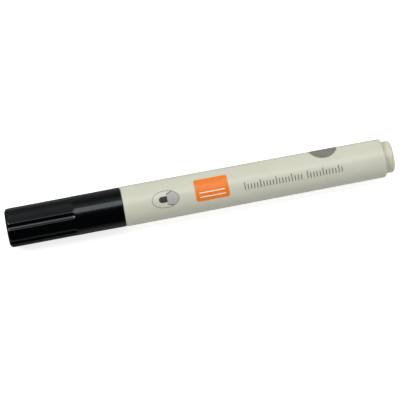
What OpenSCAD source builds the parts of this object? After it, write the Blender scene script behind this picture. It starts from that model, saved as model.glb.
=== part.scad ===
// Whiteboard marker, cap on, lying on its side: closed end of the cap at -X, tail at +X.
// Every piece is turned about the marker's axis. An outline point is [radius, place], and
// a place runs along the axis from the closed end of the cap. lay() puts the axis along X,
// at the height at which the barrel's shoulder touches the ground.

/* [Marker] */
// Length from the closed end of the cap to the tail
overall_l = 136; // [128:1:150]
// Diameter of the barrel at its front shoulder
barrel_d = 14; // [13.6:0.1:14.6]
// Diameter of the barrel at its rear rim, smaller by the mould's draft
barrel_rear_d = 13.54; // [13.2:0.02:13.6]
// Radius of the rounded rear rim
rim_round = 1.15; // [0.8:0.05:1.2]

/* [Cap] */
// Length of the cap
cap_l = 40.6; // [39:0.1:42]
// Diameter of the cap over its plain band
cap_d = 13.66; // [13.5:0.02:13.7]
// Diameter of the cap at its mouth
cap_mouth_d = 13.8; // [13.7:0.02:13.9]
// Place of the step round the cap
step_at = 28.9; // [27.5:0.1:32]
// Number of hollow panels round the cap, with a groove between each two
panels = 7; // [5:1:7]
// Length of panels and grooves up to where their round ends start
panel_l = 22.6; // [16:0.1:23]
// Depth of a panel in its middle
panel_depth = 0.3; // [0.2:0.02:0.3]
// Radius of a panel's hollow, measured across it
panel_r = 16; // [12:1:16]
// Radius of a panel's round end, measured along it
panel_end_r = 2.4; // [2:0.1:3]
// Depth of a groove
groove_depth = 0.5; // [0.3:0.05:0.5]
// Radius of a groove's round bottom
groove_bottom_r = 1.7; // [1:0.1:1.7]
// Angle that the panels are turned by, in degrees
panel_turn = 16.2; // [0:0.1:60]

/* [Neck and nib] */
// Diameter of the neck that the cap slides over
neck_d = 11.4; // [11.2:0.1:11.4]
// Length of the neck in front of the shoulder
neck_l = 13; // [12:0.5:14]
// Height of the snap bead round the neck
bead_h = 0.08; // [0.04:0.01:0.1]
// Diameter of the writing nib
nib_d = 4.5; // [4:0.1:5]
// Length of the nib
nib_l = 38; // [34:1:40]
// Length of nib that stands out of its holder
nib_out = 5.2; // [4:0.1:6]

/* [Ink reservoir] */
// Diameter of the fibre reservoir
core_d = 9.8; // [9:0.1:9.9]
// Length of the fibre reservoir
core_l = 78; // [60:1:80]
// Thickness of the film round the reservoir
wrap_t = 0.08; // [0.05:0.01:0.1]
// Outside diameter of the breather tube
breather_d = 1; // [0.8:0.1:1]

/* [Tail plug] */
// How far the plug stands out of the barrel
plug_out = 3.1; // [2.8:0.1:4]
// Diameter of the plug's head
plug_d = 11.2; // [10.8:0.1:11.2]
// Radius of the rounded edge of the head
plug_round = 1.3; // [0.6:0.1:1.6]

/* [Hidden] */
$fn = 96;

black = [0.05, 0.05, 0.055];
ivory = [0.85, 0.84, 0.77];
natural = [0.93, 0.94, 0.93];
fibre = [0.2, 0.2, 0.22];

// One arc takes this many straight steps
arc_steps = 8;
// Room left where two faces of one body lie against each other
press_gap = 0.01;

// Cap: bore over the neck, narrower bore round the liner, and the two end walls
cap_gap = 0.1;
bore_r = neck_d / 2 + 0.12;
bore_at = cap_l + cap_gap - neck_l - 1.6;
liner_bore_r = 4.9;
end_wall = 1.2;
end_round = 1.5;
lip_round = 0.35;
step_h = 0.03;

// Liner: a thin thimble on two press rings
liner_r = 4.4;
liner_wall = 0.75;
liner_at = end_wall + 0.1;
liner_end = bore_at - 2.6;
ring_l = 2;

// Barrel: shoulder, rear rim and the bores behind the neck
barrel_at = cap_l + cap_gap;
barrel_end = overall_l - plug_out;
shoulder_round = 0.3;
neck_at = barrel_at - neck_l;
neck_chamfer = 0.4;
bead_at = barrel_at - 3.8;
bead_l = 1.2;
neck_bore_r = 4.6;
neck_bore_end = barrel_at + 3;
main_bore_r = 5.6;
ribs = 6;
rib_w = 0.6;
rib_tip_r = core_d / 2 + wrap_t + 0.07;

// Nib holder: flange on the neck's front, sealing land, and a rounded nose
flange_r = 5.2;
flange_t = 1.2;
cone_r = 4.4;
cone_l = 2.6;
land_r = liner_r - liner_wall - 0.07;
land_l = 3;
nose_l = 2.4;
holder_grip_l = 10;
nib_bore_r = nib_d / 2 + press_gap;
vents = 3;
vent_r = 0.35;

// Nib: its tip, and the chamfered end inside the reservoir
holder_at = neck_at - flange_t - cone_l - land_l - nose_l;
nib_at = holder_at - nib_out;
nib_end = nib_at + nib_l;
tip_l = 3.6;
tail_taper = 1.6;

// Reservoir, its groove, and the tube in the groove
core_at = neck_bore_end + 1.3;
core_end = core_at + core_l;
groove_r = breather_d / 2 + 0.06;
groove_at_r = core_d / 2 - breather_d / 2;
tube_at_r = core_d / 2 - breather_d / 2 - 0.02;
tube_wall = 0.2;
tube_out = 0.5;

// Tail plug: stem in the bore, groove at the rim, round head, cross that holds the reservoir
stem_r = main_bore_r - press_gap;
stem_l = 9;
plug_cavity_r = 4.5;
plug_end_wall = 1.5;
groove_d = plug_d - 0.26;
groove_l = 1;
cross_t = 1;

// Points of an arc about c from angle a0 to a1
function arc(c, r, a0, a1) =
    [for (i = [0:arc_steps]) let (a = a0 + (a1 - a0) * i / arc_steps) c + r * [cos(a), sin(a)]];

module lay() translate([-overall_l / 2, 0, barrel_d / 2]) rotate([0, 90, 0]) children();

module turned(outline) rotate_extrude() polygon(outline);

// A round bar or bore of radius r between two places
module bar(r, from, to) translate([0, 0, from]) cylinder(r = r, h = to - from);

// Half outline of a cutter: a bar of radius r whose far edge is rounded by end_r
module cutter_outline(r, end_r) {
    intersection() {
        square([r, panel_l + 1 + end_r]);
        union() {
            square([r, panel_l + 1]);
            if (r > end_r) square([r - end_r, panel_l + 1 + end_r]);
            translate([r - end_r, panel_l + 1]) circle(end_r);
        }
    }
}

// The cutter stands beside the cap and reaches in by its depth
module cutter(r, end_r, depth) {
    translate([cap_d / 2 + r - depth, 0, -1]) rotate_extrude() cutter_outline(r, end_r);
}

// Half outline of the cap: round closed end, straight band, step, and the draft to the lip
module cap_outline() {
    cap_r = cap_d / 2;
    mouth_r = cap_mouth_d / 2;
    square([cap_r - end_round, end_round + 0.1]);
    translate([cap_r - end_round, end_round]) circle(end_round);
    translate([0, end_round]) square([cap_r, step_at - end_round]);
    polygon(concat([[0, step_at], [cap_r - step_h, step_at]],
                   arc([mouth_r - lip_round, cap_l - lip_round], lip_round, 0, 90),
                   [[0, cap_l]]));
}

module cap_solid() {
    rotate_extrude() intersection() {
        square([cap_mouth_d, cap_l]);
        cap_outline();
    }
}

// The cap with its hollow panels, before the grooves between them
module panelled() difference() {
    cap_solid();
    for (i = [0:panels - 1])
        rotate(panel_turn + i * 360 / panels) cutter(panel_r, panel_end_r, panel_depth);
}

module cap_shell() color(black) lay() difference() {
    difference() {
        panelled();
        for (i = [0:panels - 1])
            rotate(panel_turn + (i + 0.5) * 360 / panels)
                cutter(groove_bottom_r, groove_bottom_r, groove_depth);
    }
    bar(liner_bore_r, end_wall, cap_l);
    bar(bore_r, bore_at, cap_l + 1);
}

module cap_liner() color(natural) lay() difference() {
    union() {
        bar(liner_r, liner_at, liner_end);
        bar(liner_bore_r - press_gap, liner_at + 1, liner_at + 1 + ring_l);
        bar(liner_bore_r - press_gap, liner_end - 2 - ring_l, liner_end - 2);
    }
    bar(liner_r - liner_wall, liner_at + liner_wall, liner_end + 1);
}

module barrel_solid() {
    neck_r = neck_d / 2;
    rear_r = barrel_rear_d / 2;
    turned(concat([[0, neck_at], [neck_r - neck_chamfer, neck_at],
                   [neck_r, neck_at + neck_chamfer],
                   [neck_r, bead_at - bead_l / 2], [neck_r + bead_h, bead_at - bead_l / 6],
                   [neck_r + bead_h, bead_at + bead_l / 6], [neck_r, bead_at + bead_l / 2],
                   [neck_r, barrel_at]],
                  arc([barrel_d / 2 - shoulder_round, barrel_at + shoulder_round],
                      shoulder_round, -90, 0),
                  arc([rear_r - rim_round, barrel_end - rim_round], rim_round, 0, 90),
                  [[0, barrel_end]]));
}

module barrel() color(ivory) lay() {
    difference() {
        barrel_solid();
        bar(neck_bore_r, neck_at - 1, barrel_end);
        bar(main_bore_r, neck_bore_end, barrel_end + 1);
    }
    for (i = [0:ribs - 1]) rotate(i * 360 / ribs)
        translate([rib_tip_r, -rib_w / 2, neck_bore_end - 0.5])
            cube([main_bore_r + 0.5 - rib_tip_r, rib_w, core_end - neck_bore_end]);
}

module tail_plug() color(ivory) lay() {
    head_r = plug_d / 2;
    difference() {
        turned(concat([[0, barrel_end - stem_l], [stem_r, barrel_end - stem_l],
                       [stem_r, barrel_end], [groove_d / 2, barrel_end],
                       [groove_d / 2, barrel_end + groove_l], [head_r, barrel_end + groove_l]],
                      arc([head_r - plug_round, overall_l - plug_round], plug_round, 0, 90),
                      [[0, overall_l]]));
        bar(plug_cavity_r, barrel_end - stem_l - 1, overall_l - plug_end_wall);
    }
    for (turn = [0, 90]) rotate(turn)
        translate([-plug_cavity_r - 0.2, -cross_t / 2, core_end])
            cube([2 * plug_cavity_r + 0.4, cross_t, overall_l - plug_end_wall - core_end + 0.2]);
}

module nib_holder() color(natural) lay() difference() {
    cone_end = neck_at - flange_t;
    turned(concat(arc([land_r - 0.7, holder_at + 0.7], 0.7, -90, 0),
                  [[land_r, holder_at + nose_l + land_l], [cone_r, cone_end],
                   [flange_r, cone_end], [flange_r, neck_at],
                   [neck_bore_r - press_gap, neck_at],
                   [neck_bore_r - press_gap, neck_at + holder_grip_l],
                   [0, neck_at + holder_grip_l], [0, holder_at]]));
    bar(nib_bore_r, holder_at - 1, neck_at + holder_grip_l + 1);
    for (i = [0:vents - 1]) rotate(i * 360 / vents) translate([nib_bore_r, 0, 0])
        bar(vent_r, holder_at - 1, neck_at + holder_grip_l + 1);
}

module nib() color(black) lay() {
    nib_r = nib_d / 2;
    turned(concat([for (i = [0:arc_steps]) let (a = 90 * i / arc_steps)
                       [nib_r * sin(a), nib_at + tip_l * (1 - cos(a))]],
                  [[nib_r, nib_end - tail_taper], [nib_r / 2, nib_end], [0, nib_end]]));
}

module reservoir_core() color(fibre) lay() difference() {
    bar(core_d / 2, core_at, core_end);
    bar(nib_bore_r, core_at - 1, nib_end + 0.5);
    translate([groove_at_r, 0, 0]) bar(groove_r, core_at - 1, core_end + 1);
}

module reservoir_wrap() color(natural) lay() difference() {
    bar(core_d / 2 + wrap_t, core_at, core_end);
    bar(core_d / 2, core_at - 1, core_end + 1);
}

module breather_tube() color(natural) lay() translate([tube_at_r, 0, 0]) difference() {
    bar(breather_d / 2, core_at - tube_out, core_end);
    bar(breather_d / 2 - tube_wall, core_at - tube_out - 1, core_end + 1);
}

cap_shell();
cap_liner();
barrel();
tail_plug();
nib_holder();
nib();
reservoir_core();
reservoir_wrap();
breather_tube();
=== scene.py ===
"""Whiteboard marker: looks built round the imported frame.

The marker lies along X, the cap's closed end at -X. Places are metres along the axis, and
angles run round the axis from straight up towards -Y, the side that faces the camera.
"""
import math

import bmesh
import bpy
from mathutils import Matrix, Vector

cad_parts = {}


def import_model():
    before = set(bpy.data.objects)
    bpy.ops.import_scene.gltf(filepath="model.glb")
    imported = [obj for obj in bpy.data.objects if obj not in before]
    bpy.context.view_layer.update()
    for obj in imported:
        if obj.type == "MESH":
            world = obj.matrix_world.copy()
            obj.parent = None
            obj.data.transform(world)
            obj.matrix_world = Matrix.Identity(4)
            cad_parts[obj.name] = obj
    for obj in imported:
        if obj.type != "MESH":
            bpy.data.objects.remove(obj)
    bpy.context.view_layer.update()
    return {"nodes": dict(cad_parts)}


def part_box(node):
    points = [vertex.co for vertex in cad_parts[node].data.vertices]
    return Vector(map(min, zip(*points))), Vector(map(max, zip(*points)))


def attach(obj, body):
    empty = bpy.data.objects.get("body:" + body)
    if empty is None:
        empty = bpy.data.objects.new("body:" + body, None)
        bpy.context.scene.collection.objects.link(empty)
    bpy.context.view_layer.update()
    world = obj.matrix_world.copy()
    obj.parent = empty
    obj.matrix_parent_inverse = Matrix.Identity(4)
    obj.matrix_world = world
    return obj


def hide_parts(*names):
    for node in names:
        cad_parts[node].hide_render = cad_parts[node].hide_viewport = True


MM = 0.001
AROUND = 224

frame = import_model()

# Places that the frame gives
barrel_lo, barrel_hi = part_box("barrel")
cap_lo, cap_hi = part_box("cap_shell")
plug_lo, plug_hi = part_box("tail_plug")
AXIS_Z = (barrel_lo.z + barrel_hi.z) / 2
SHOULDER_R = (barrel_hi.z - barrel_lo.z) / 2
CAP_END = cap_lo.x
MOUTH = cap_hi.x

# Camera
AZIMUTH = math.radians(-11.18)
ELEVATION = math.radians(72.44)
DISTANCE = 0.748
AIM = Vector((-0.00073, -0.00278, AXIS_Z))
LENS = 194.4
BACK = Vector((math.sin(AZIMUTH) * math.cos(ELEVATION),
               -math.cos(AZIMUTH) * math.cos(ELEVATION), math.sin(ELEVATION)))
FACING = math.atan2(-BACK.y, BACK.z)


def point(x, radius, angle):
    """The point at a place along the axis, a radius and an angle from up towards -Y."""
    return Vector((x, -radius * math.sin(angle), AXIS_Z + radius * math.cos(angle)))


def add_object(name, mesh, material, body, slot, *nodes):
    """Links a piece, gives it its material, hangs it under its body and hides the CAD nodes that it
    stands for.
    """
    piece = bpy.data.objects.new(name, mesh)
    bpy.context.scene.collection.objects.link(piece)
    mesh.materials.append(material)
    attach(piece, body)
    if nodes:
        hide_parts(*nodes)
    return piece


def finish_mesh(name, bm, sharp_degrees=35):
    """Merges doubled points and shades smooth between edges sharper than an angle."""
    bmesh.ops.remove_doubles(bm, verts=bm.verts, dist=1e-7)
    bmesh.ops.recalc_face_normals(bm, faces=bm.faces)
    mesh = bpy.data.meshes.new(name)
    bm.to_mesh(mesh)
    bm.free()
    for polygon in mesh.polygons:
        polygon.use_smooth = True
    mesh.set_sharp_from_angle(angle=math.radians(sharp_degrees))
    return mesh


def arc(x, radius, size, start, end, steps=10):
    """(place, radius) points of a round edge; 0 degrees points along +X, 90 away from the axis."""
    out = []
    for i in range(steps + 1):
        a = math.radians(start + (end - start) * i / steps)
        out.append((x + size * math.cos(a), radius + size * math.sin(a)))
    return out


def rings(bm, outline, surface=None, around=AROUND):
    """Turns an outline about the axis. surface(x, r, angle) may move each point's radius."""
    rows = []
    for x, r in outline:
        if r < 1e-6:
            rows.append([bm.verts.new(point(x, 0, 0))])
            continue
        row = []
        for i in range(around):
            a = 2 * math.pi * i / around
            row.append(bm.verts.new(point(x, surface(x, r, a) if surface else r, a)))
        rows.append(row)
    for low, high in zip(rows, rows[1:]):
        for i in range(around):
            j = (i + 1) % around
            if len(low) == 1 and len(high) == 1:
                continue
            if len(low) == 1:
                bm.faces.new((low[0], high[j], high[i]))
            elif len(high) == 1:
                bm.faces.new((low[i], low[j], high[0]))
            else:
                bm.faces.new((low[i], low[j], high[j], high[i]))


# Materials ------------------------------------------------------------------------------

def new_material(name):
    material = bpy.data.materials.new(name)
    material.use_nodes = True
    tree = material.node_tree
    shader = tree.nodes["Principled BSDF"]
    return material, tree, shader


def add_noise(tree, scale, detail=3.0, stretch=(1, 1, 1)):
    """A noise pattern in the object's own metres."""
    where = tree.nodes.new("ShaderNodeTexCoord")
    mapping = tree.nodes.new("ShaderNodeMapping")
    mapping.inputs["Scale"].default_value = stretch
    tree.links.new(where.outputs["Object"], mapping.inputs["Vector"])
    texture = tree.nodes.new("ShaderNodeTexNoise")
    texture.inputs["Scale"].default_value = scale
    texture.inputs["Detail"].default_value = detail
    tree.links.new(mapping.outputs["Vector"], texture.inputs["Vector"])
    return texture


def mix_colours(tree, shader, factor, low, high, start=0.35, end=0.65):
    ramp = tree.nodes.new("ShaderNodeValToRGB")
    ramp.color_ramp.elements[0].position = start
    ramp.color_ramp.elements[1].position = end
    ramp.color_ramp.elements[0].color = (*low, 1)
    ramp.color_ramp.elements[1].color = (*high, 1)
    tree.links.new(factor.outputs["Fac"], ramp.inputs["Fac"])
    tree.links.new(ramp.outputs["Color"], shader.inputs["Base Color"])


def vary_roughness(tree, shader, factor, low, high):
    span = tree.nodes.new("ShaderNodeMapRange")
    span.inputs["From Min"].default_value = 0.3
    span.inputs["From Max"].default_value = 0.7
    span.inputs["To Min"].default_value = low
    span.inputs["To Max"].default_value = high
    tree.links.new(factor.outputs["Fac"], span.inputs["Value"])
    tree.links.new(span.outputs["Result"], shader.inputs["Roughness"])


def add_bump(tree, shader, height, strength, distance):
    bump = tree.nodes.new("ShaderNodeBump")
    bump.inputs["Strength"].default_value = strength
    bump.inputs["Distance"].default_value = distance
    tree.links.new(height.outputs["Fac"], bump.inputs["Height"])
    tree.links.new(bump.outputs["Normal"], shader.inputs["Normal"])


def moulded_plastic(name, low, high, rough_low, rough_high, grain, strength, tint=(1, 1, 1)):
    """Moulded plastic: faint colour drift, uneven gloss, and a fine surface grain."""
    material, tree, shader = new_material(name)
    shader.inputs["Specular Tint"].default_value = (*tint, 1)
    mix_colours(tree, shader, add_noise(tree, 60), low, high)
    vary_roughness(tree, shader, add_noise(tree, 500, 4), rough_low, rough_high)
    add_bump(tree, shader, add_noise(tree, grain, 2), strength, 0.00002)
    return material


def fibre(name, low, high):
    """Bonded fibre: fine streaks along the axis."""
    material, tree, shader = new_material(name)
    streaks = add_noise(tree, 9000, 4, (0.04, 1, 1))
    mix_colours(tree, shader, streaks, low, high)
    shader.inputs["Roughness"].default_value = 0.85
    add_bump(tree, shader, streaks, 0.7, 0.00004)
    return material


CAP_PLASTIC = moulded_plastic("cap_plastic", (0.0006, 0.0008, 0.001), (0.0009, 0.0012, 0.0015),
                              0.13, 0.2, 2500, 0.05, tint=(0.89, 1.0, 1.01))
BARREL_PLASTIC = moulded_plastic("barrel_plastic", (0.525, 0.525, 0.43), (0.545, 0.545, 0.45),
                                 0.27, 0.35, 6000, 0.12)
PLUG_PLASTIC = moulded_plastic("plug_plastic", (0.52, 0.50, 0.40), (0.55, 0.53, 0.425),
                               0.32, 0.42, 6000, 0.12)
NATURAL_PLASTIC = moulded_plastic("natural_plastic", (0.72, 0.72, 0.69), (0.78, 0.78, 0.75),
                                  0.32, 0.45, 5000, 0.1)
NIB_FIBRE = fibre("nib_fibre", (0.006, 0.006, 0.008), (0.03, 0.03, 0.035))
CORE_FIBRE = fibre("core_fibre", (0.02, 0.02, 0.025), (0.09, 0.09, 0.1))


# Cap ------------------------------------------------------------------------------------

CAP_R = 6.83 * MM
MOUTH_R = 6.89 * MM
END_ROUND = 1.5 * MM
LIP_ROUND = 0.35 * MM
STEP = CAP_END + 28.9 * MM
CAP_BORE_R = 5.82 * MM
CAP_BORE_L = 13.5 * MM
LINER_BORE_R = 4.9 * MM
CAP_END_WALL = 1.2 * MM
CAP_AROUND = 700

# Hollow panels round the cap's closed half, and a groove between each two
PANELS = 7
PANEL_L = 22.6 * MM
PANEL_R = 16 * MM
PANEL_DEPTH = 0.3 * MM
PANEL_END_R = 2.4 * MM
GROOVE_AT = FACING - math.radians(1)
GROOVE_R = 1.7 * MM
GROOVE_DEPTH = 0.5 * MM
RIDGE_SOFTNESS = 0.2 * MM


def soft_min(a, b, k):
    """The smaller of two numbers, blended where they are within k of each other."""
    h = max(k - abs(a - b), 0) / k
    return min(a, b) - h * h * k / 4


def hollow(x, angle, centre, size, end_size, depth):
    """Distance from the axis to a round-ended hollow, or a large number beside and past it."""
    along = x - CAP_END - PANEL_L
    if along >= end_size:
        return 1.0
    away = CAP_R + size - depth
    if along > 0:
        size += math.sqrt(end_size ** 2 - along ** 2) - end_size
    pitch = 2 * math.pi / PANELS
    turn = (angle - centre + pitch / 2) % pitch - pitch / 2
    inside = size ** 2 - (away * math.sin(turn)) ** 2
    if inside <= 0:
        return 1.0
    return away * math.cos(turn) - math.sqrt(inside)


def grooved(x, radius, angle):
    """The cap's outer radius: the turned outline, cut back by panels and grooves with soft edges."""
    half = math.pi / PANELS
    panel = hollow(x, angle, GROOVE_AT + half, PANEL_R, PANEL_END_R, PANEL_DEPTH)
    groove = hollow(x, angle, GROOVE_AT, GROOVE_R, GROOVE_R, GROOVE_DEPTH)
    return soft_min(soft_min(radius, panel, RIDGE_SOFTNESS), groove, RIDGE_SOFTNESS)


def cap_mesh():
    """The cap: round closed end, panels, a fine step, a round lip, and the stepped bore."""
    outer = [(CAP_END, r * MM) for r in (0, 1.5, 3, 4.5)]
    outer += arc(CAP_END + END_ROUND, CAP_R - END_ROUND, END_ROUND, 180, 90, 16)
    straight = PANEL_L - END_ROUND
    outer += [(CAP_END + END_ROUND + straight * i / 24, CAP_R) for i in range(1, 25)]
    outer += [(CAP_END + PANEL_L + PANEL_END_R * i / 40, CAP_R) for i in range(1, 41)]
    outer += [(STEP + along * MM, CAP_R - drop * MM)
              for along, drop in ((-0.045, 0), (-0.02, 0.004), (0.02, 0.026), (0.045, 0.03))]
    outer += arc(MOUTH - LIP_ROUND, MOUTH_R - LIP_ROUND, LIP_ROUND, 90, 0, 8)
    chamfer = 0.15 * MM
    bore_end = MOUTH - CAP_BORE_L
    inner = [outer[-1], (MOUTH, CAP_BORE_R + chamfer), (MOUTH - chamfer, CAP_BORE_R),
             (bore_end, CAP_BORE_R), (bore_end, LINER_BORE_R),
             (CAP_END + CAP_END_WALL, LINER_BORE_R), (CAP_END + CAP_END_WALL, 0)]
    bm = bmesh.new()
    rings(bm, outer, surface=grooved, around=CAP_AROUND)
    rings(bm, inner, around=CAP_AROUND)
    return finish_mesh("cap", bm, 40)


add_object("cap", cap_mesh(), CAP_PLASTIC, "cap", "cap_black", "cap_shell")


# Barrel and tail plug -------------------------------------------------------------------

REAR_R = 6.77 * MM
RIM = 1.15 * MM
NECK_R = 5.7 * MM
NECK_CHAMFER = 0.4 * MM
NECK_BORE_R = 4.6 * MM
MAIN_BORE_R = 5.6 * MM
SHOULDER_ROUND = 0.3 * MM
BEAD_H = 0.08 * MM
BEAD_HALF_L = 0.6 * MM
BARREL_AT = MOUTH + 0.1 * MM
BARREL_END = barrel_hi.x


def barrel_radius(x):
    """The drafted outer radius of the barrel."""
    share = (x - BARREL_AT) / (BARREL_END - RIM - BARREL_AT)
    return SHOULDER_R + (REAR_R - SHOULDER_R) * share


def barrel_mesh():
    """The barrel with its neck and snap bead in front, and its bores."""
    neck_at = barrel_lo.x
    bead = BARREL_AT - 3.8 * MM
    bore_step = BARREL_AT + 3 * MM
    outline = [(neck_at, NECK_BORE_R), (neck_at, NECK_R - NECK_CHAMFER)]
    outline += arc(neck_at + NECK_CHAMFER, NECK_R - NECK_CHAMFER, NECK_CHAMFER, 180, 90, 6)
    outline += [(bead + BEAD_HALF_L * i / 6, NECK_R + BEAD_H * (1 - (i / 6) ** 2))
                for i in range(-6, 7)]
    outline += [(BARREL_AT - 0.02 * MM, NECK_R), (BARREL_AT, NECK_R + 0.02 * MM)]
    outline += arc(BARREL_AT + SHOULDER_ROUND, SHOULDER_R - SHOULDER_ROUND, SHOULDER_ROUND, 180, 90, 8)
    steps = 60
    start = BARREL_AT + SHOULDER_ROUND
    straight = BARREL_END - RIM - start
    for i in range(1, steps):
        x = start + straight * i / steps
        outline.append((x, barrel_radius(x)))
    outline += arc(BARREL_END - RIM, REAR_R - RIM, RIM, 90, 0, 14)
    outline += [(BARREL_END - 0.05 * MM, MAIN_BORE_R), (bore_step, MAIN_BORE_R),
                (bore_step, NECK_BORE_R), (neck_at, NECK_BORE_R)]
    bm = bmesh.new()
    rings(bm, outline)
    return finish_mesh("barrel", bm)


add_object("barrel_tube", barrel_mesh(), BARREL_PLASTIC, "pen", "barrel_ivory", "barrel")


def plug_mesh():
    """The plug: hollow stem, groove at the rim, round head with a gate dimple in its middle."""
    end = plug_hi.x
    head_r = (plug_hi.z - plug_lo.z) / 2
    head_round = 1.3 * MM
    head_edge = 0.12 * MM
    groove_r = head_r - 0.13 * MM
    stem_r = head_r - 0.01 * MM
    cavity_r = 4.5 * MM
    dimple = 0.12 * MM
    start = BARREL_END - 9 * MM
    head_wall = end - 1.5 * MM
    outline = [(start, cavity_r), (start, stem_r), (BARREL_END - 0.1 * MM, stem_r),
               (BARREL_END, groove_r), (BARREL_END + 0.9 * MM, groove_r)]
    outline += arc(BARREL_END + 1.1 * MM, head_r - head_edge, head_edge, 180, 90, 4)
    outline += arc(end - head_round, head_r - head_round, head_round, 90, 0, 12)
    outline += [(end, 2 * MM), (end, 0.9 * MM), (end - dimple, 0.6 * MM), (end - dimple, 0)]
    bm = bmesh.new()
    rings(bm, outline)
    rings(bm, [(head_wall, 0), (head_wall, cavity_r), (start, cavity_r)])
    return finish_mesh("plug", bm)


add_object("plug", plug_mesh(), PLUG_PLASTIC, "pen", "plug_ivory", "tail_plug")


# Prints ---------------------------------------------------------------------------------

PRINT_LIFT = 0.02 * MM
SIGN_EDGE_LIFT = 0.025 * MM
RULE_LIFT = 0.03 * MM
# A print is cut into strips of about this height, in mm, before it is bent round the barrel
STRIP = 0.3


def flat_ink(name, low, high, rough):
    """Printed ink: slightly uneven cover over a satin barrel."""
    material, tree, shader = new_material(name)
    mix_colours(tree, shader, add_noise(tree, 900, 4), low, high)
    vary_roughness(tree, shader, add_noise(tree, 700, 3), rough, rough + 0.08)
    add_bump(tree, shader, add_noise(tree, 6000, 2), 0.1, 0.00002)
    return material


def ellipse(place, across, half_l, half_w, steps=64):
    turns = [2 * math.pi * i / steps for i in range(steps)]
    return [(place + half_l * math.cos(a), across + half_w * math.sin(a)) for a in turns]


def rounded_box(x0, x1, y0, y1, size, steps=6):
    """Outline of a rectangle with round corners."""
    out = []
    for cx, cy, start in ((x1 - size, y1 - size, 0), (x0 + size, y1 - size, 90),
                          (x0 + size, y0 + size, 180), (x1 - size, y0 + size, 270)):
        for i in range(steps + 1):
            t = math.radians(start + 90 * i / steps)
            out.append((cx + size * math.cos(t), cy + size * math.sin(t)))
    return out


def cut_in_strips(bm):
    """Cuts a flat print into strips along the marker, so that it can follow the barrel."""
    low = min(v.co.y for v in bm.verts)
    high = max(v.co.y for v in bm.verts)
    strips = max(int((high - low) / STRIP), 1)
    for i in range(1, strips):
        cut = low + (high - low) * i / strips
        everything = bm.verts[:] + bm.edges[:] + bm.faces[:]
        bmesh.ops.bisect_plane(bm, geom=everything, dist=1e-6, plane_co=(0, cut, 0), plane_no=(0, 1, 0))
    bmesh.ops.triangulate(bm, faces=bm.faces[:])


def face_outwards(mesh):
    """Turns a print's faces away from the marker's axis."""
    outward = sum(p.normal.dot(Vector((0, p.center.y, p.center.z - AXIS_Z))) for p in mesh.polygons)
    if outward < 0:
        mesh.flip_normals()


def print_on_barrel(name, outlines, material, slot, turn=0.0, lift=PRINT_LIFT):
    """Lays flat outlines, in mm from the cap's end and round from the camera's side, on the barrel."""
    bm = bmesh.new()
    for outline in outlines:
        bm.faces.new([bm.verts.new((x, y, 0)) for x, y in outline])
    cut_in_strips(bm)
    for v in bm.verts:
        x = CAP_END + v.co.x * MM
        radius = barrel_radius(x) + lift
        v.co = point(x, radius, FACING + turn + v.co.y * MM / radius)
    bmesh.ops.recalc_face_normals(bm, faces=bm.faces)
    mesh = bpy.data.meshes.new(name)
    bm.to_mesh(mesh)
    bm.free()
    for polygon in mesh.polygons:
        polygon.use_smooth = True
    face_outwards(mesh)
    return add_object(name, mesh, material, "pen", slot)


ORANGE = flat_ink("orange_ink", (0.70, 0.165, 0.012), (0.76, 0.19, 0.018), 0.36)
BLACK = flat_ink("black_ink", (0.022, 0.022, 0.022), (0.03, 0.03, 0.03), 0.4)
GREY = flat_ink("grey_ink", (0.125, 0.12, 0.11), (0.145, 0.14, 0.13), 0.42)
DISC_GREY = flat_ink("disc_grey_ink", (0.165, 0.16, 0.14), (0.185, 0.18, 0.155), 0.42)
MID_GREY = flat_ink("mid_grey_ink", (0.34, 0.335, 0.32), (0.38, 0.375, 0.36), 0.42)
PALE = flat_ink("pale_ink", (0.80, 0.76, 0.66), (0.84, 0.80, 0.70), 0.4)


def ring_strip(place, across, half_l, half_w, width, steps=72):
    """A thin oval line as a row of four-sided pieces."""
    outer = ellipse(place, across, half_l, half_w, steps)
    inner = ellipse(place, across, half_l - width, half_w - width, steps)
    strip = []
    for i in range(steps):
        j = (i + 1) % steps
        strip.append((outer[i], outer[j], inner[j], inner[i]))
    return strip


def nib_sign():
    """Sign for a round nib: an oval line, a black nib and its holder."""
    centre = 0.25
    nib_r = 1.08
    nib_end = 55.9
    nose = [math.radians(-90 + 180 * i / 16) for i in range(17)]
    nib = [(54.1 - nib_r * math.cos(a), -nib_r * math.sin(a)) for a in nose]
    nib += [(nib_end, -nib_r), (nib_end, nib_r)]
    holder = [(nib_end, -1.6), (57.9, -2.5), (58.9, -2.15), (59.9, -1.1), (60.05, 0)]
    holder += [(x, -y) for x, y in holder[-2::-1]]
    edge = [(55.75, 1.55), (57.85, 2.45), (58.05, 2.75), (55.75, 1.85)]

    def moved(outline):
        return [(x, y + centre) for x, y in outline]

    print_on_barrel("print_oval", ring_strip(55.35, centre, 4.8, 3.08, 0.2), GREY, "ink_grey")
    print_on_barrel("print_holder", [moved(holder)], MID_GREY, "ink_grey")
    print_on_barrel("print_nib", [moved(nib)], BLACK, "ink_black")
    for i, side in enumerate((-1, 1)):
        outline = moved([(x, side * y) for x, y in edge])
        print_on_barrel("print_shoulder_%d" % i, [outline], BLACK, "ink_black", lift=SIGN_EDGE_LIFT)


def badge():
    """Plain orange badge with two pale rules."""
    barrel_r = 6.93
    top = -math.radians(38.5) * barrel_r
    low = math.radians(27.5) * barrel_r
    print_on_barrel("print_badge", [rounded_box(65.8, 77.5, top, low, 0.75)], ORANGE, "ink_orange")
    half = 0.16
    for i, across in enumerate((0.35, 1.85)):
        rule = rounded_box(67.1, 76.2, across - half, across + half, 0.15)
        print_on_barrel("print_rule_%d" % i, [rule], PALE, "ink_pale", lift=RULE_LIFT)


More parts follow.
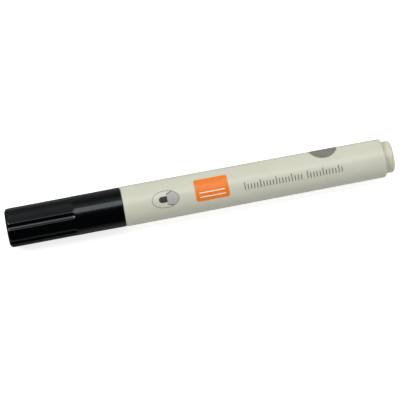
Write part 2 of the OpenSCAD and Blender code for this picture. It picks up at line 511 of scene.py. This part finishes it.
def tick_row():
    """Two groups of short strokes, as on a rule, every fifth stroke tall."""
    low = 2.2
    width = 0.34
    pitch = 1.1
    for group, (start, count) in enumerate(((82.9, 19), (104.9, 12))):
        strokes = []
        for i in range(count):
            x = start + i * pitch
            height = 2.7 if i % 5 == 0 else 1.9
            strokes.append([(x, low - height), (x + width, low - height), (x + width, low), (x, low)])
        print_on_barrel("print_strokes_%d" % group, strokes, GREY, "ink_grey")


def disc():
    """Plain grey disc, turned towards the back."""
    size = 4.87
    print_on_barrel("print_disc", [ellipse(112.2, 0.0, size, size)], DISC_GREY, "ink_grey",
                    turn=math.radians(-73.7))


nib_sign()
badge()
tick_row()
disc()


# Everything else keeps its CAD shape and gets a better material -------------------------

CAD_LOOKS = {"cap_liner": NATURAL_PLASTIC, "nib_holder": NATURAL_PLASTIC, "nib": NIB_FIBRE,
             "reservoir_core": CORE_FIBRE, "reservoir_wrap": NATURAL_PLASTIC,
             "breather_tube": NATURAL_PLASTIC}

for node, material in CAD_LOOKS.items():
    mesh = frame["nodes"][node].data
    mesh.materials.clear()
    mesh.materials.append(material)


# Studio ---------------------------------------------------------------------------------

FLOOR_HALF = 1.2
FLOOR_DROP = 0.00005
FLOOR_GLOW = 0.8


def floor():
    """A white floor that glows a little, so that shadows on it stay faint."""
    material, tree, shader = new_material("floor")
    mix_colours(tree, shader, add_noise(tree, 3), (0.44, 0.44, 0.44), (0.46, 0.46, 0.46))
    shader.inputs["Roughness"].default_value = 0.9
    shader.inputs["Specular IOR Level"].default_value = 0
    shader.inputs["Emission Color"].default_value = (1, 1, 1, 1)
    shader.inputs["Emission Strength"].default_value = FLOOR_GLOW
    bm = bmesh.new()
    corners = ((-1, -1), (1, -1), (1, 1), (-1, 1))
    bm.faces.new([bm.verts.new((x * FLOOR_HALF, y * FLOOR_HALF, -FLOOR_DROP)) for x, y in corners])
    mesh = bpy.data.meshes.new("floor")
    bm.to_mesh(mesh)
    bm.free()
    mesh.materials.append(material)
    piece = bpy.data.objects.new("floor", mesh)
    bpy.context.scene.collection.objects.link(piece)
    piece.visible_glossy = False


def softbox(name, where, width, depth, radiance):
    """A rectangular light of a given brightness, facing the marker's middle; width is along X."""
    data = bpy.data.lights.new(name, "AREA")
    data.shape = "RECTANGLE"
    data.size = width
    data.size_y = depth
    data.energy = radiance * math.pi * width * depth
    light = bpy.data.objects.new(name, data)
    light.location = where
    light.rotation_euler = (-Vector(where)).to_track_quat("-Z", "Y").to_euler()
    bpy.context.scene.collection.objects.link(light)
    return light


# Place, width, depth and brightness of the lights that the marker mirrors
LIGHTS = {
    "top": ((0.0, 0.15, 0.95), 1.6, 0.47, 2.4),
    "left": ((-0.85, 0.2, 0.8), 0.4, 0.4, 12),
    "right": ((0.85, 0.2, 0.8), 0.4, 0.4, 12),
}
# The same for low lights in front, which leave no highlights
FILLS = {
    "fill_left": ((-0.3, -0.9, 0.35), 0.5, 0.5, 1.05),
    "fill_right": ((0.3, -0.9, 0.35), 0.5, 0.5, 1.05),
}


def lights():
    for name, settings in LIGHTS.items():
        softbox(name, *settings)
    for name, settings in FILLS.items():
        softbox(name, *settings).visible_glossy = False


# Brightness of the studio that the marker mirrors, by degrees from straight up towards the front
STUDIO = ((-180, 0.02), (-150, 0.03), (-135, 0.22), (-106, 0.27), (-80, 0.21), (-58, 0.12),
          (-48, 0.22), (-36, 0.46), (-30, 0.42), (24, 0.008), (104, 0.008), (120, 0.17),
          (140, 0.26), (160, 0.2), (172, 0.03), (180, 0.02))


def angle_from_up(tree):
    """A ray's angle from straight up towards the front, as 0 to 1 for -180 to 180 degrees."""
    where = tree.nodes.new("ShaderNodeTexCoord")
    split = tree.nodes.new("ShaderNodeSeparateXYZ")
    tree.links.new(where.outputs["Generated"], split.inputs["Vector"])
    front = tree.nodes.new("ShaderNodeMath")
    front.operation = "MULTIPLY"
    front.inputs[1].default_value = -1
    tree.links.new(split.outputs["Y"], front.inputs[0])
    angle = tree.nodes.new("ShaderNodeMath")
    angle.operation = "ARCTAN2"
    tree.links.new(front.outputs[0], angle.inputs[0])
    tree.links.new(split.outputs["Z"], angle.inputs[1])
    span = tree.nodes.new("ShaderNodeMapRange")
    span.inputs["From Min"].default_value = -math.pi
    span.inputs["From Max"].default_value = math.pi
    tree.links.new(angle.outputs[0], span.inputs["Value"])
    return span.outputs["Result"]


def studio_brightness(tree):
    """The STUDIO table as a ramp over the angle."""
    ramp = tree.nodes.new("ShaderNodeValToRGB")
    elements = ramp.color_ramp.elements
    while len(elements) < len(STUDIO):
        elements.new(0.5)
    for element, (degrees, level) in zip(elements, STUDIO):
        element.position = (degrees + 180) / 360
        element.color = (level, level, level, 1)
    tree.links.new(angle_from_up(tree), ramp.inputs["Fac"])
    return ramp.outputs["Color"]


def world():
    """The marker mirrors a studio that is dark above and in front; the camera sees a white wall."""
    data = bpy.data.worlds.new("studio")
    data.use_nodes = True
    bpy.context.scene.world = data
    tree = data.node_tree
    studio = tree.nodes["Background"]
    tree.links.new(studio_brightness(tree), studio.inputs["Color"])
    wall = tree.nodes.new("ShaderNodeBackground")
    wall.inputs["Color"].default_value = (1, 1, 1, 1)
    rays = tree.nodes.new("ShaderNodeLightPath")
    mix = tree.nodes.new("ShaderNodeMixShader")
    tree.links.new(rays.outputs["Is Camera Ray"], mix.inputs["Fac"])
    tree.links.new(studio.outputs[0], mix.inputs[1])
    tree.links.new(wall.outputs[0], mix.inputs[2])
    tree.links.new(mix.outputs[0], tree.nodes["World Output"].inputs["Surface"])


def camera():
    """A long lens that looks down on the marker from a little to its left."""
    data = bpy.data.cameras.new("camera")
    data.lens = LENS
    data.sensor_width = 36
    data.clip_end = 20
    eye = bpy.data.objects.new("camera", data)
    eye.location = AIM + BACK * DISTANCE
    eye.rotation_mode = "QUATERNION"
    eye.rotation_quaternion = (-BACK).to_track_quat("-Z", "Y")
    bpy.context.scene.collection.objects.link(eye)
    bpy.context.scene.camera = eye


floor()
world()
camera()
lights()
bpy.context.scene.view_settings.view_transform = "Standard"
